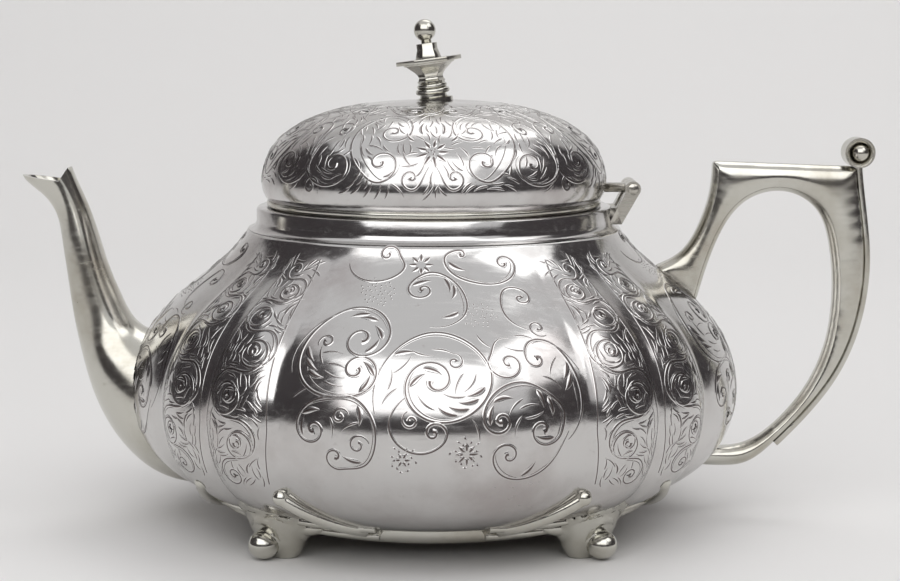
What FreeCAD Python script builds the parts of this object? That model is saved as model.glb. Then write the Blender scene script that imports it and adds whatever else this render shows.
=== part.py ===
import FreeCAD, Part
import math
import os

V = FreeCAD.Vector
UP = V(0, 0, 1)
ACROSS = V(0, 1, 0)
AHEAD = V(1, 0, 0)
HUB = V(0, 0, 0)

# Bowl: its belly, then the stations on a lobe's crest, each set in from the belly or out from the collar
belly_radius = 89.2
floor_height = 9.6
floor_inset = 31.6
low_inset = 16.2
hip_inset = 4.6
upper_inset = 4.6
shoulder_fullness = 1.6
throat_step = 5.7
low_rise = 4.2
hip_rise = 9.8
belly_rise = 17.4
upper_rise = 15.0
shoulder_rise = 12.2
throat_rise = 11.2
collar_foot_rise = 7.3
body_wall = 1.2
floor_radius = belly_radius - floor_inset
low_height = floor_height + low_rise
hip_height = low_height + hip_rise
belly_height = hip_height + belly_rise
upper_height = belly_height + upper_rise
shoulder_height = upper_height + shoulder_rise
throat_height = shoulder_height + throat_rise

# Lobes: one wide and two narrow lobes in each quarter turn
quarters = 4
wide_half_angle = 29.0
lobe_depth = 3.6
narrow_crest_drop = 0.8
narrow_valley_depth = 2.4
floor_lobe_phase = 0.22

# Bottom plate and base ring
base_ring_step = 0.4
base_ring_width = 5.0
base_ring_height = 4.4
drain_ledge = 6.2
disc_lap = 4.0
disc_thick = 1.2
base_ring_radius = floor_radius - base_ring_step
base_ring_inside = base_ring_radius - base_ring_width
drain_radius = base_ring_inside - drain_ledge

# Neck collar and mouth
collar_radius = 52.0
collar_wall = 4.0
collar_flange = 2.5
collar_flare = 2.2
collar_rise = 6.3
mouth_radius = collar_radius - collar_wall
collar_foot_radius = collar_radius + collar_flange
throat_radius = collar_foot_radius + throat_step
upper_radius = belly_radius - upper_inset
shoulder_radius = (throat_radius + upper_radius) / 2 + shoulder_fullness
collar_foot_height = throat_height + collar_foot_rise
collar_top = collar_foot_height + collar_rise

# Lid
lid_gap = 0.3
lid_edge_inset = 3.0
lid_edge_thick = 1.5
lid_tuck = 0.5
lid_overhang = 1.4
lid_belly_rise = 4.0
lid_dome_rise = 25.0
lid_fullness = 2.45
lid_wall = 1.2
bezel_clearance = 0.8
bezel_wall = 1.0
bezel_depth = 4.8
bezel_radius = mouth_radius - bezel_clearance
lid_edge_radius = collar_radius - lid_edge_inset
lid_edge_low = collar_top + lid_gap
lid_low = lid_edge_low + lid_edge_thick
lid_tuck_radius = lid_edge_radius - lid_tuck
lid_radius = lid_edge_radius + lid_overhang
lid_belt = lid_low + lid_belly_rise
lid_top = lid_belt + lid_dome_rise

# Hinge
hinge_standoff = 7.4
hinge_rise = 5.2
knuckle_radius = 2.3
pin_radius = 0.8
pin_clearance = 0.05
middle_knuckle = 6.0
outer_knuckle = 5.0
knuckle_gap = 0.3
rivet_head = 0.8
rivet_lip = 0.8
strap_thick = 2.4
bracket_drop = 5.0
bracket_thick = 2.6
hinge_reach = lid_radius + hinge_standoff
hinge_height = collar_top + hinge_rise
knuckle_inner = middle_knuckle / 2 + knuckle_gap
knuckle_outer = knuckle_inner + outer_knuckle

# Finial, measured along its own axis from the top of the lid
finial_lean = 7.5
finial_sides = 6
finial_turn = 4.0
flange_radius = 5.6
flange_rise = 1.0
neck_radius = 3.9
lower_ring_radius = 5.0
lower_ring_thick = 1.6
lower_ring_rise = 1.8
upper_ring_radius = 4.4
upper_ring_thick = 1.4
neck_rise = 0.6
cup_foot = 3.7
cup_waist = 3.1
cup_mouth = 5.9
cup_rise = 5.0
brim_step = 6.4
brim_step_thick = 0.5
brim_flat = 8.3
brim_thick = 1.2
cap_foot = 3.3
cap_top = 2.6
cap_foot_rise = 2.6
cap_rise = 4.4
ball_radius = 3.2
ball_neck_radius = 1.5
ball_neck_rise = 1.0
stud_radius = 1.6
stud_clearance = 0.05
stud_engagement = 4.0
stud_end = 1.0
washer_radius = 5.0
washer_thick = 1.0
nut_flat = 3.6
nut_thick = 3.0
nut_sides = 6
upper_ring_rise = lower_ring_rise + lower_ring_thick
finial_foot_rise = upper_ring_rise + upper_ring_thick + neck_rise
brim_low = finial_foot_rise + cup_rise
cap_low = brim_low + brim_step_thick + brim_thick
ball_low = cap_low + cap_rise

# Spout: how far it stands out from the belly and above it
spout_reach = 31.7
spout_rise = 63.1
spout_base_half = 23.0
spout_wall = 1.3

# Strainer holes in the bowl behind the spout
strainer_radius = 1.4
strainer_pitch = 5.0
strainer_rows = 5
strainer_drop = 8.0

# Handle: how far its back and its opening stand out from the belly and above it
handle_reach = 37.7
handle_rise = 65.0
gap_reach = 28.5
gap_rise = 56.0
handle_half = 4.6
handle_bevel = 1.5
bead_rise = 1.8
bead_half = 1.7
bead_round = 1.4
scroll_radius = 4.4
scroll_half = 3.6
scroll_recess = 1.4
scroll_rim = 1.3
scroll_ball_radius = 2.4
scroll_rivet_radius = 1.2
scroll_inset = 2.5
scroll_rise = 2.4
handle_back = belly_radius + handle_reach
scroll_reach = handle_back - scroll_inset
scroll_height = belly_height + handle_rise + scroll_rise

# Feet
foot_azimuth = 41.0
heel_offset = 6.3
heel_length = 3.6
heel_width = 5.0
leg_offset = 7.0
leg_length = 6.4
leg_width = 9.5
leg_slope = 2.5
toe_offset = 13.2
toe_length = 4.6
toe_width = 4.2
toe_height = 4.0
toe_lift = 0.3
flare_length = 4.0
flare_width = 15.0
flare_height = 3.6
wing_angle = 28.0
wing_offset = 5.8
wing_height = 3.6
wing_lift = 2.6
wing_slope = 5.0
wing_back_rise = 1.0
wing_lap = 1.0
wing_bead_radius = 1.2
leaf_radius = 1.9
leaf_knob = 2.2
leaf_sink = 2.4
leaf_low_angle = 25.0
leaf_high_angle = 11.0
leaf_low_share = 0.07
leaf_high_share = 0.26
heel_reach = base_ring_radius + heel_offset
leg_reach = base_ring_radius + leg_offset
toe_reach = base_ring_radius + toe_offset
wing_reach = base_ring_radius + wing_offset


def polar(radius, angle, height):
    turn = math.radians(angle)
    return V(radius * math.cos(turn), radius * math.sin(turn), height)


def upright(points):
    return [V(r, 0, z) for r, z in points]


def beside_belly(shares, reach, rise):
    return [V(belly_radius + out * reach, 0, belly_height + up * rise) for out, up in shares]


def smooth(points):
    curve = Part.BSplineCurve()
    curve.interpolate(points)
    return curve


def straight(points):
    return [Part.makeLine(a, b) for a, b in zip(points, points[1:])]


def outline(points):
    return Part.Face(Part.Wire(straight(points + points[:1])))


def turned(edges):
    return Part.Face(Part.Wire(edges)).revolve(HUB, UP, 360)


def slab(points, half):
    face = outline(points)
    face.translate(ACROSS * -half)
    return face.extrude(ACROSS * (2 * half))


def arch(centre, along, across, half_along, half_across, start, count):
    points = []
    for i in range(start, start + count + 1):
        turn = math.pi * i / count
        side = across * (half_across * math.sin(turn))
        points.append(centre + along * (half_along * math.cos(turn)) + side)
    return points


def oval(centre, half_along, half_across):
    count = 8
    halves = []
    for start, way in ((0, ACROSS), (count, -ACROSS)):
        curve = Part.BSplineCurve()
        points = arch(centre, AHEAD, ACROSS, half_along, half_across, start, count)
        curve.interpolate(Points=points, InitialTangent=way, FinalTangent=-way)
        halves.append(curve.toShape())
    return Part.Wire(halves)


def skinned(rows):
    surface = Part.BSplineSurface()
    surface.interpolate(rows)
    near = surface.toShape()
    faces = [near, near.mirror(HUB, ACROSS)]
    for place in surface.bounds()[:2]:
        rim = surface.uIso(place).toShape()
        faces.append(Part.Face(Part.Wire([rim, rim.mirror(HUB, ACROSS)])))
    shell = Part.Shell(faces)
    shell.sewShape()
    solid = Part.Solid(shell)
    if solid.Volume < 0:
        solid.reverse()
    return solid


def egg(centre, half_x, half_y, half_z):
    stretch = FreeCAD.Matrix()
    stretch.scale(half_x, half_y, half_z)
    shape = Part.makeSphere(1.0).transformGeometry(stretch)
    shape.translate(centre)
    return shape


def ring(outside, inside, low, high):
    shape = Part.makeCylinder(outside, high - low, V(0, 0, low))
    return shape.cut(Part.makeCylinder(inside, high - low, V(0, 0, low)))


# Bowl
def lobe_ring(radius, depth, height):
    narrow = radius - narrow_crest_drop * depth / lobe_depth
    inner_valley = narrow - narrow_valley_depth * (depth / lobe_depth) ** 2
    outer_valley = radius - depth
    gap = 180.0 / quarters - wide_half_angle
    edges = []
    for quarter in range(quarters):
        axis = 360.0 * quarter / quarters
        valley = axis + wide_half_angle
        middle = valley + gap
        start = polar(outer_valley, axis - wide_half_angle, height)
        first = polar(outer_valley, valley, height)
        second = polar(inner_valley, middle, height)
        third = polar(outer_valley, middle + gap, height)
        edges.append(Part.Arc(start, polar(radius, axis, height), first).toShape())
        edges.append(Part.Arc(first, polar(narrow, valley + gap / 2, height), second).toShape())
        edges.append(Part.Arc(second, polar(narrow, middle + gap / 2, height), third).toShape())
    return Part.Wire(edges)


def bowl_crest():
    return smooth(upright([(floor_radius, floor_height),
                           (belly_radius - low_inset, low_height),
                           (belly_radius - hip_inset, hip_height),
                           (belly_radius, belly_height),
                           (upper_radius, upper_height),
                           (shoulder_radius, shoulder_height),
                           (throat_radius, throat_height),
                           (collar_foot_radius, collar_foot_height)]))


def crest_place(crest, share):
    return crest.FirstParameter + share * (crest.LastParameter - crest.FirstParameter)


def inset_point(crest, place, inset):
    point = crest.value(place)
    run = crest.tangent(place)[0]
    return V(point.x - inset * run.z, 0, point.z + inset * run.x)


def bowl_solid(inset):
    crest = bowl_crest()
    count = 2 * crest.NbKnots
    rings = []
    for i in range(count + 1):
        share = i / count
        point = inset_point(crest, crest_place(crest, share), inset)
        depth = lobe_depth * math.sin(math.pi * (floor_lobe_phase + (1 - floor_lobe_phase) * share))
        rings.append(lobe_ring(point.x, max(depth, 0.0), point.z))
    return Part.makeLoft(rings, True, False)


def strainer_holes():
    holes = []
    for row in range(strainer_rows):
        step = row - (strainer_rows - 1) / 2
        count = strainer_rows - int(abs(step))
        height = belly_height - strainer_drop + step * strainer_pitch * math.cos(math.pi / 6)
        for i in range(count):
            start = V(-belly_radius, (i - (count - 1) / 2) * strainer_pitch, height)
            holes.append(Part.makeCylinder(strainer_radius, belly_radius - drain_radius, start, AHEAD))
    return holes


def body_shell_shape(bowl_outer):
    shape = bowl_outer.cut(bowl_solid(body_wall))
    shape = shape.cut(Part.makeCylinder(drain_radius, collar_top))
    mouth = collar_foot_radius - 2 * body_wall
    shape = shape.cut(Part.makeCylinder(mouth, collar_top, V(0, 0, throat_height)))
    return shape.cut(strainer_holes())


# Bottom plate, soldered over the opening in the bowl's floor
def base_disc_shape():
    crest = bowl_crest()
    low = inset_point(crest, crest.FirstParameter, body_wall).z
    return Part.makeCylinder(drain_radius + disc_lap, disc_thick, V(0, 0, low))


# Base ring, rounded under its outer edge
def base_ring_shape():
    half = base_ring_height / 2
    bottom = floor_height - base_ring_height
    corners = upright([(base_ring_inside, floor_height), (base_ring_inside, bottom),
                       (base_ring_radius - half / 2, bottom), (base_ring_radius, bottom + half),
                       (base_ring_radius, floor_height)])
    bend = V(base_ring_radius - half / 6, 0, bottom + half / 2)
    edges = straight(corners[:3])
    edges.append(Part.Arc(corners[2], bend, corners[3]).toShape())
    return turned(edges + straight(corners[3:] + corners[:1]))


# Neck collar
def collar_shape():
    foot = V(collar_foot_radius, 0, collar_foot_height)
    waist = V(collar_radius, 0, collar_foot_height + collar_flare)
    bend = V(collar_radius + 0.3 * collar_flange, 0, collar_foot_height + 0.35 * collar_flare)
    inside = upright([(collar_radius, collar_top), (mouth_radius, collar_top),
                      (mouth_radius, collar_foot_height)])
    return turned([Part.Arc(foot, bend, waist).toShape()] + straight([waist] + inside + [foot]))


# Lid dome
def dome_solid(inset):
    steps = 10
    points = [V(lid_tuck_radius - inset, 0, lid_low)]
    for i in range(steps):
        turn = math.pi / 2 * i / steps
        radius = (lid_radius - inset) * math.cos(turn) ** (2 / lid_fullness)
        rise = (lid_dome_rise - inset) * math.sin(turn) ** (2 / lid_fullness)
        points.append(V(radius, 0, lid_belt + rise))
    points.append(V(0, 0, lid_top - inset))
    curve = Part.BSplineCurve()
    curve.interpolate(Points=points, InitialTangent=V(0.4, 0, 1), FinalTangent=-AHEAD)
    return turned([curve.toShape()] + straight([points[-1], V(0, 0, lid_low), points[0]]))


# Hinge
def barrel(radius, low, high):
    return Part.makeCylinder(radius, high - low, V(hinge_reach, low, hinge_height), ACROSS)


def hinge_bore():
    return barrel(pin_radius + pin_clearance, -2 * knuckle_outer, 2 * knuckle_outer)


def hinge_lower_shape(collar):
    root = collar_top - bracket_drop
    top = collar_top - lid_gap
    shelf = collar_radius + bracket_thick
    cheek = 0.9 * knuckle_radius
    seat = hinge_height - 0.4 * knuckle_radius
    plate = upright([(mouth_radius, root), (shelf, root), (shelf, top), (mouth_radius, top)])
    web = upright([(mouth_radius, root), (shelf, root), (hinge_reach + cheek, seat),
                   (hinge_reach - cheek, seat), (shelf - bracket_thick / 2, top), (mouth_radius, top)])
    shape = slab(plate, knuckle_outer).fuse(slab(web, knuckle_outer).cut(slab(web, knuckle_inner)))
    for low in (knuckle_inner, -knuckle_outer):
        shape = shape.fuse(barrel(knuckle_radius, low, low + outer_knuckle))
    shape = shape.cut(collar.fuse(Part.makeCylinder(mouth_radius, collar_top)))
    swing = barrel(knuckle_radius + knuckle_gap, -knuckle_inner, knuckle_inner)
    return shape.cut(swing).cut(hinge_bore()).removeSplitter()


def hinge_upper_shape(dome):
    half = middle_knuckle / 2
    low = hinge_height - strap_thick / 2
    high = hinge_height + strap_thick / 2
    strap = upright([(lid_tuck_radius, low), (hinge_reach, low), (hinge_reach, high),
                     (lid_tuck_radius, high)])
    shape = slab(strap, half).fuse(barrel(knuckle_radius, -half, half))
    return shape.cut(dome).cut(hinge_bore()).removeSplitter()


def hinge_pin_shape():
    shape = barrel(pin_radius, -knuckle_outer, knuckle_outer)
    for low in (knuckle_outer, -knuckle_outer - rivet_head):
        shape = shape.fuse(barrel(pin_radius + rivet_lip, low, low + rivet_head))
    return shape.removeSplitter()


# Finial
def faceted(flat, height, sides=finial_sides, start=finial_turn):
    corner = flat / math.cos(math.pi / sides)
    points = [polar(corner, start + 360.0 * i / sides, height) for i in range(sides + 1)]
    return Part.Wire(straight(points))


def faceted_plate(flat, low, thick):
    return Part.Face(faceted(flat, low)).extrude(UP * thick)


def finial_foot_shape():
    skirt = -lid_dome_rise / 4
    edges = straight(upright([(0, skirt), (flange_radius, skirt), (flange_radius, flange_rise / 2),
                              (neck_radius, flange_rise), (neck_radius, lower_ring_rise)]))
    for radius, low, thick in ((lower_ring_radius, lower_ring_rise, lower_ring_thick),
                               (upper_ring_radius, upper_ring_rise, upper_ring_thick)):
        bulge = upright([(neck_radius, low), (radius, low + thick / 2), (neck_radius, low + thick)])
        edges.append(Part.Arc(*bulge).toShape())
    edges += straight(upright([(neck_radius, finial_foot_rise - neck_rise), (neck_radius, finial_foot_rise),
                               (0, finial_foot_rise), (0, skirt)]))
    return turned(edges)


def finial_cup_shape():
    flank = 0.6 * cup_waist + 0.4 * cup_mouth
    sections = [faceted(cup_foot, finial_foot_rise), faceted(cup_waist, finial_foot_rise + 0.25 * cup_rise),
                faceted(flank, finial_foot_rise + 0.65 * cup_rise), faceted(cup_mouth, brim_low)]
    shape = Part.makeLoft(sections, True, False)
    shape = shape.fuse(faceted_plate(brim_step, brim_low, brim_step_thick))
    return shape.fuse(faceted_plate(brim_flat, brim_low + brim_step_thick, brim_thick))


def finial_cap_shape():
    waist = 0.8 * cap_foot
    sections = [faceted(cap_foot, cap_low), faceted(0.9 * cap_foot, cap_low + cap_foot_rise / 2),
                faceted(waist, cap_low + cap_foot_rise)]
    shape = Part.makeLoft(sections, True, False)
    return shape.fuse(faceted_plate(cap_top, cap_low + cap_foot_rise, cap_rise - cap_foot_rise))


def finial_ball_shape():
    centre = ball_low + ball_neck_rise + math.sqrt(ball_radius ** 2 - ball_neck_radius ** 2)
    shape = Part.makeSphere(ball_radius, V(0, 0, centre))
    return shape.fuse(Part.makeCylinder(ball_neck_radius, centre - ball_low, V(0, 0, ball_low)))


def stud_shape(radius):
    low = -(lid_wall + washer_thick + nut_thick + stud_end)
    return Part.makeCylinder(radius, finial_foot_rise + stud_engagement - low, V(0, 0, low))


def finial_washer_shape(hole):
    thick = lid_wall + washer_thick
    return Part.makeCylinder(washer_radius, thick, V(0, 0, -thick)).cut(hole)


def finial_nut_shape(hole):
    low = -lid_wall - washer_thick - nut_thick
    return Part.Face(faceted(nut_flat, low, nut_sides, 0.0)).extrude(UP * nut_thick).cut(hole)


def leaned(shape):
    shape = shape.copy()
    shape.rotate(HUB, ACROSS, -finial_lean)
    shape.translate(V(0, 0, lid_top))
    return shape


# Spout: each row holds the outer edge, the inner edge and the half width
def spout_loft(inset):
    stations = [((-0.921, -0.333), (-0.984, 0.143), 1.0), ((-0.416, -0.472), (-0.606, 0.206), 1.0),
                ((-0.069, -0.384), (-0.385, 0.225), 0.88), ((0.189, -0.238), (-0.221, 0.231), 0.74),
                ((0.360, -0.071), (-0.101, 0.250), 0.6), ((0.476, 0.127), (0.019, 0.311), 0.452),
                ((0.549, 0.317), (0.120, 0.415), 0.39), ((0.599, 0.507), (0.221, 0.545), 0.348),
                ((0.640, 0.666), (0.309, 0.694), 0.306), ((0.694, 0.792), (0.404, 0.834), 0.261),
                ((0.833, 0.884), (0.489, 0.935), 0.261), ((1.0, 0.983), (0.555, 1.036), 0.235)]
    count = 12
    rows = []
    for outer, inner, width in stations:
        a, b = beside_belly([outer, inner], spout_reach, spout_rise)
        along = b - a
        half = along.Length / 2 - inset
        along.normalize()
        rows.append(arch((a + b) * 0.5, along, ACROSS, half, width * spout_base_half - inset, 0, count))
    return skinned(rows)


def spout_mouth_cut():
    shares = [(1.136, 0.976), (0.631, 0.940), (0.562, 1.0), (0.183, 1.016), (0.183, 1.41), (1.287, 1.41)]
    return slab(beside_belly(shares, spout_reach, spout_rise), spout_base_half)


def spout_shape(bowl_outer):
    shape = spout_loft(0.0).cut(spout_loft(spout_wall)).cut(spout_mouth_cut())
    shape = shape.mirror(HUB, AHEAD)
    return shape.cut(bowl_outer)


# Handle
def handle_spine():
    shares = [(0.920, 0.975), (0.973, 0.731), (1.0, 0.538), (0.981, 0.385), (0.912, 0.208), (0.764, 0.018),
              (0.531, -0.160), (0.318, -0.289), (0.074, -0.388), (-0.125, -0.397), (-0.509, -0.382)]
    return beside_belly(shares, handle_reach, handle_rise)


def side_edges(solid):
    return [edge for face in solid.Faces if abs(face.normalAt(0, 0).y) > 0.9 for edge in face.Edges]


def handle_solid():
    neck = beside_belly([(-0.828, 0.477), (-0.613, 0.525), (-0.440, 0.585), (-0.302, 0.708),
                         (-0.223, 0.846), (-0.202, 1.0)], handle_reach, handle_rise)
    gap = beside_belly([(-0.674, -0.339), (-0.154, -0.364), (0.130, -0.339), (0.439, -0.230),
                        (0.723, -0.057), (0.926, 0.170), (1.0, 0.423), (0.961, 0.716), (0.821, 0.904),
                        (0.491, 1.0), (0.081, 0.950), (-0.172, 0.784), (-0.340, 0.557),
                        (-0.674, 0.196)], gap_reach, gap_rise)
    back = handle_spine()
    edges = [smooth(neck).toShape()] + straight([neck[-1], back[0]])
    edges += [smooth(back).toShape()] + straight([back[-1], gap[0]])
    edges += [smooth(gap).toShape()] + straight([gap[-1], neck[0]])
    face = Part.Face(Part.Wire(edges))
    face.translate(ACROSS * -handle_half)
    solid = face.extrude(ACROSS * (2 * handle_half))
    return solid.makeChamfer(handle_bevel, side_edges(solid))


def handle_bead_shape():
    points = handle_spine()
    spine = smooth(points)
    start = spine.FirstParameter
    end = spine.parameter(points[-4])
    steps = 12
    outside = []
    for i in range(steps + 1):
        place = start + (end - start) * i / steps
        run = spine.tangent(place)[0]
        outside.append(spine.value(place) + V(-run.z, 0, run.x) * bead_rise)
    crown = smooth(outside).toShape()
    inside = spine.toShape(start, end)
    ends = [Part.makeLine(spine.value(start), outside[0]), Part.makeLine(spine.value(end), outside[-1])]
    face = Part.Face(Part.Wire(Part.sortEdges([inside, crown] + ends)[0]))
    face.translate(ACROSS * -bead_half)
    solid = face.extrude(ACROSS * (2 * bead_half))
    rims = []
    for edge in side_edges(solid):
        if edge.Length > 0.9 * crown.Length and edge.BoundBox.XMax > handle_back + bead_rise / 2:
            rims.append(edge)
    return solid.makeFillet(bead_round, rims)


def scroll_disc(centre):
    return Part.makeCylinder(scroll_radius, 2 * scroll_half, centre - ACROSS * scroll_half, ACROSS)


def scroll_ring_shape(centre):
    shape = scroll_disc(centre)
    for low in (-scroll_half, scroll_half - scroll_recess):
        hollow = Part.makeCylinder(scroll_radius - scroll_rim, scroll_recess, centre + ACROSS * low, ACROSS)
        shape = shape.cut(hollow)
    return shape


def scroll_ball_shape(centre):
    shape = Part.makeCylinder(scroll_rivet_radius, 2 * scroll_half, centre - ACROSS * scroll_half, ACROSS)
    for side in (-scroll_half, scroll_half):
        shape = shape.fuse(Part.makeSphere(scroll_ball_radius, centre + ACROSS * side))
    return shape


# Feet
def foot_leg():
    sections = [oval(V(heel_reach, 0, 0), heel_length, heel_width),
                oval(V(leg_reach, 0, 0.55 * floor_height), 0.85 * leg_length, 0.9 * leg_width),
                oval(V(leg_reach + leg_slope, 0, 1.4 * floor_height), leg_length, leg_width)]
    return Part.makeLoft(sections, True, False)


def swept_wing(face):
    face.rotate(HUB, UP, -wing_angle)
    return face.revolve(HUB, UP, 2 * wing_angle)


def foot_wings():
    high = floor_height + wing_lift
    low = high - wing_height
    back = base_ring_radius - wing_lap
    shape = swept_wing(outline(upright([(back, low + wing_back_rise), (wing_reach, low),
                                        (wing_reach + wing_slope, high), (back, high)])))
    for share in (0.1, 0.9):
        centre = V(wing_reach + share * wing_slope, 0, low + share * wing_height)
        bead = Part.Face(Part.Wire(Part.makeCircle(wing_bead_radius, centre, ACROSS)))
        shape = shape.fuse(swept_wing(bead))
    return shape


def foot_leaf(side):
    crest = bowl_crest()
    steps = 4
    points = []
    for i in range(steps + 1):
        run = i / steps
        point = crest.value(crest_place(crest, leaf_low_share + (leaf_high_share - leaf_low_share) * run))
        angle = leaf_low_angle + (leaf_high_angle - leaf_low_angle) * run
        points.append(polar(point.x - leaf_sink * run, side * angle, point.z))
    path = smooth(points)
    profile = Part.Wire(Part.makeCircle(leaf_radius, points[0], path.tangent(path.FirstParameter)[0]))
    shape = Part.Wire(path.toShape()).makePipeShell([profile], True, True)
    return shape.fuse(Part.makeSphere(leaf_knob, points[-1]))


def foot_shape():
    toe = egg(V(toe_reach, 0, toe_height + toe_lift), toe_length, toe_width, toe_height)
    flare = egg(V(wing_reach, 0, floor_height), flare_length, flare_width, flare_height)
    return foot_leg().fuse([toe, flare, foot_wings(), foot_leaf(-1), foot_leaf(1)])


# Assembly
bowl_outer = bowl_solid(0.0)
dome_outer = dome_solid(0.0)
dome_inner = dome_solid(lid_wall)
stud_hole = stud_shape(stud_radius + stud_clearance)
scroll_centre = V(scroll_reach, 0, scroll_height)
scroll_ball = scroll_ball_shape(scroll_centre)
parts = {}
parts["body_shell"] = body_shell_shape(bowl_outer)
parts["base_disc"] = base_disc_shape()
parts["base_ring"] = base_ring_shape()
parts["neck_collar"] = collar_shape()
parts["lid_dome"] = dome_outer.cut(dome_inner).cut(leaned(stud_hole))
parts["lid_edge"] = ring(lid_edge_radius, bezel_radius - bezel_wall, lid_edge_low, lid_low)
parts["lid_bezel"] = ring(bezel_radius, bezel_radius - bezel_wall, lid_edge_low - bezel_depth, lid_edge_low)
parts["hinge_lower_leaf"] = hinge_lower_shape(parts["neck_collar"])
parts["hinge_upper_leaf"] = hinge_upper_shape(dome_outer)
parts["hinge_pin"] = hinge_pin_shape()
parts["finial_foot"] = leaned(finial_foot_shape().cut(stud_hole)).cut(dome_outer)
parts["finial_cup"] = leaned(finial_cup_shape().cut(stud_hole))
parts["finial_cap"] = leaned(finial_cap_shape())
parts["finial_ball"] = leaned(finial_ball_shape())
parts["finial_stud"] = leaned(stud_shape(stud_radius))
parts["finial_washer"] = leaned(finial_washer_shape(stud_hole)).common(dome_inner)
parts["finial_nut"] = leaned(finial_nut_shape(stud_hole))
parts["spout"] = spout_shape(bowl_outer)
parts["handle_frame"] = handle_solid().cut(bowl_outer).cut(scroll_disc(scroll_centre))
parts["handle_bead"] = handle_bead_shape().cut(scroll_disc(scroll_centre))
parts["handle_scroll_ring"] = scroll_ring_shape(scroll_centre).cut(scroll_ball)
parts["handle_scroll_ball"] = scroll_ball
for name, azimuth in (("front_left", 270.0 - foot_azimuth), ("front_right", 270.0 + foot_azimuth),
                      ("back_left", 90.0 + foot_azimuth), ("back_right", 90.0 - foot_azimuth)):
    foot = foot_shape()
    foot.rotate(HUB, UP, azimuth)
    parts["foot_" + name] = foot.cut(bowl_outer).cut(parts["base_ring"])

# The part's origin is under the middle of its length
spout_end = parts["spout"].optimalBoundingBox(False, False).XMin
middle = (spout_end + scroll_reach + scroll_radius) / 2
os.makedirs("parts", exist_ok=True)
for name, shape in parts.items():
    shape.translate(V(-middle, 0, 0))
    shape.exportStep("parts/" + name + ".step")
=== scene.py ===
import bmesh
import bpy
import math
import numpy as np
from mathutils import Matrix, Vector
from mathutils.bvhtree import BVHTree
from mathutils.kdtree import KDTree


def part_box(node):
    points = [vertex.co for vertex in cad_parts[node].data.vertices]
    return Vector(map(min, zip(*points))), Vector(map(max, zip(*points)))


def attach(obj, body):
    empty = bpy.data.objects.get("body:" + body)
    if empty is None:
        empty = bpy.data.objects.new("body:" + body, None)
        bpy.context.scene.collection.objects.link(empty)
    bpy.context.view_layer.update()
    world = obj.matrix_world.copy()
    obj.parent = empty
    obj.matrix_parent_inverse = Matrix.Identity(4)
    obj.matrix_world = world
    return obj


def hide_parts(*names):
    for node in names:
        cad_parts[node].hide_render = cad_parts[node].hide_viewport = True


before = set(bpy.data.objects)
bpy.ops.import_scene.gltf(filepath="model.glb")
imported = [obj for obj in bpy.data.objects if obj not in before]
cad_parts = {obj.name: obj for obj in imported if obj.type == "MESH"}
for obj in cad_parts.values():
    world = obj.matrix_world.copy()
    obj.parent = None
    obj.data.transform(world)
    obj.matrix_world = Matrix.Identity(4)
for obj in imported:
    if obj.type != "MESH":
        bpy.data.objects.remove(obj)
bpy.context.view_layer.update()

MM = 0.001


# Silver: every visible piece is nickel silver under a plated and polished skin. It has fine
# polishing lines, a warm bloom of tarnish and small knocks. The tarnish and the lines are one
# group, which each finish below places with its own colours and strengths.
def add(tree, kind, **settings):
    node = tree.nodes.new(kind)
    for name, value in settings.items():
        setattr(node, name, value)
    return node


def feed(tree, socket, value):
    if isinstance(value, bpy.types.NodeSocket):
        tree.links.new(value, socket)
    else:
        socket.default_value = value


def calc(tree, operation, *values):
    node = add(tree, "ShaderNodeMath", operation=operation)
    for socket, value in zip(node.inputs, values):
        feed(tree, socket, value)
    return node.outputs[0]


def blend_colour(tree, share, first, second):
    node = add(tree, "ShaderNodeMix", data_type="RGBA")
    for name, value in (("Factor_Float", share), ("A_Color", first), ("B_Color", second)):
        feed(tree, next(s for s in node.inputs if s.identifier == name), value)
    return next(s for s in node.outputs if s.identifier == "Result_Color")


def ramp(tree, value, low, high):
    node = add(tree, "ShaderNodeMapRange", interpolation_type="SMOOTHSTEP")
    for name, number in (("Value", value), ("From Min", low), ("From Max", high)):
        feed(tree, node.inputs[name], number)
    return node.outputs["Result"]


def noise(tree, **values):
    node = add(tree, "ShaderNodeTexNoise")
    for name, value in values.items():
        feed(tree, node.inputs[name], value)
    return node.outputs["Fac"]


wear = bpy.data.node_groups.new("silver wear", "ShaderNodeTree")
for name, kind in (("Silver", "NodeSocketColor"), ("Tarnish", "NodeSocketColor"),
                   ("Tarnish Amount", "NodeSocketFloat"), ("Gloss Roughness", "NodeSocketFloat"),
                   ("Wear Roughness", "NodeSocketFloat")):
    wear.interface.new_socket(name, in_out="INPUT", socket_type=kind)
for name, kind in (("Color", "NodeSocketColor"), ("Roughness", "NodeSocketFloat"), ("Height", "NodeSocketFloat")):
    wear.interface.new_socket(name, in_out="OUTPUT", socket_type=kind)
given = add(wear, "NodeGroupInput")
place = add(wear, "ShaderNodeTexCoord").outputs["Object"]
cloud = noise(wear, Vector=place, Scale=34.0, Detail=6.0, Roughness=0.62)
speck = noise(wear, Vector=place, Scale=420.0, Detail=3.0)
stretch = add(wear, "ShaderNodeMapping")
feed(wear, stretch.inputs["Vector"], place)
feed(wear, stretch.inputs["Rotation"], (0.3, 0.5, 0.9))
feed(wear, stretch.inputs["Scale"], (60.0, 900.0, 900.0))
lines = noise(wear, Vector=stretch.outputs["Vector"], Scale=1.0, Detail=2.0)
bloom = calc(wear, "MULTIPLY", ramp(wear, cloud, 0.42, 0.74), given.outputs["Tarnish Amount"])
spots = calc(wear, "MULTIPLY", ramp(wear, speck, 0.66, 0.78), given.outputs["Tarnish Amount"])
stain = calc(wear, "MAXIMUM", bloom, calc(wear, "MULTIPLY", spots, 0.6))
rough = calc(wear, "MULTIPLY_ADD", ramp(wear, lines, 0.45, 0.75), given.outputs["Wear Roughness"],
             given.outputs["Gloss Roughness"])
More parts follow.
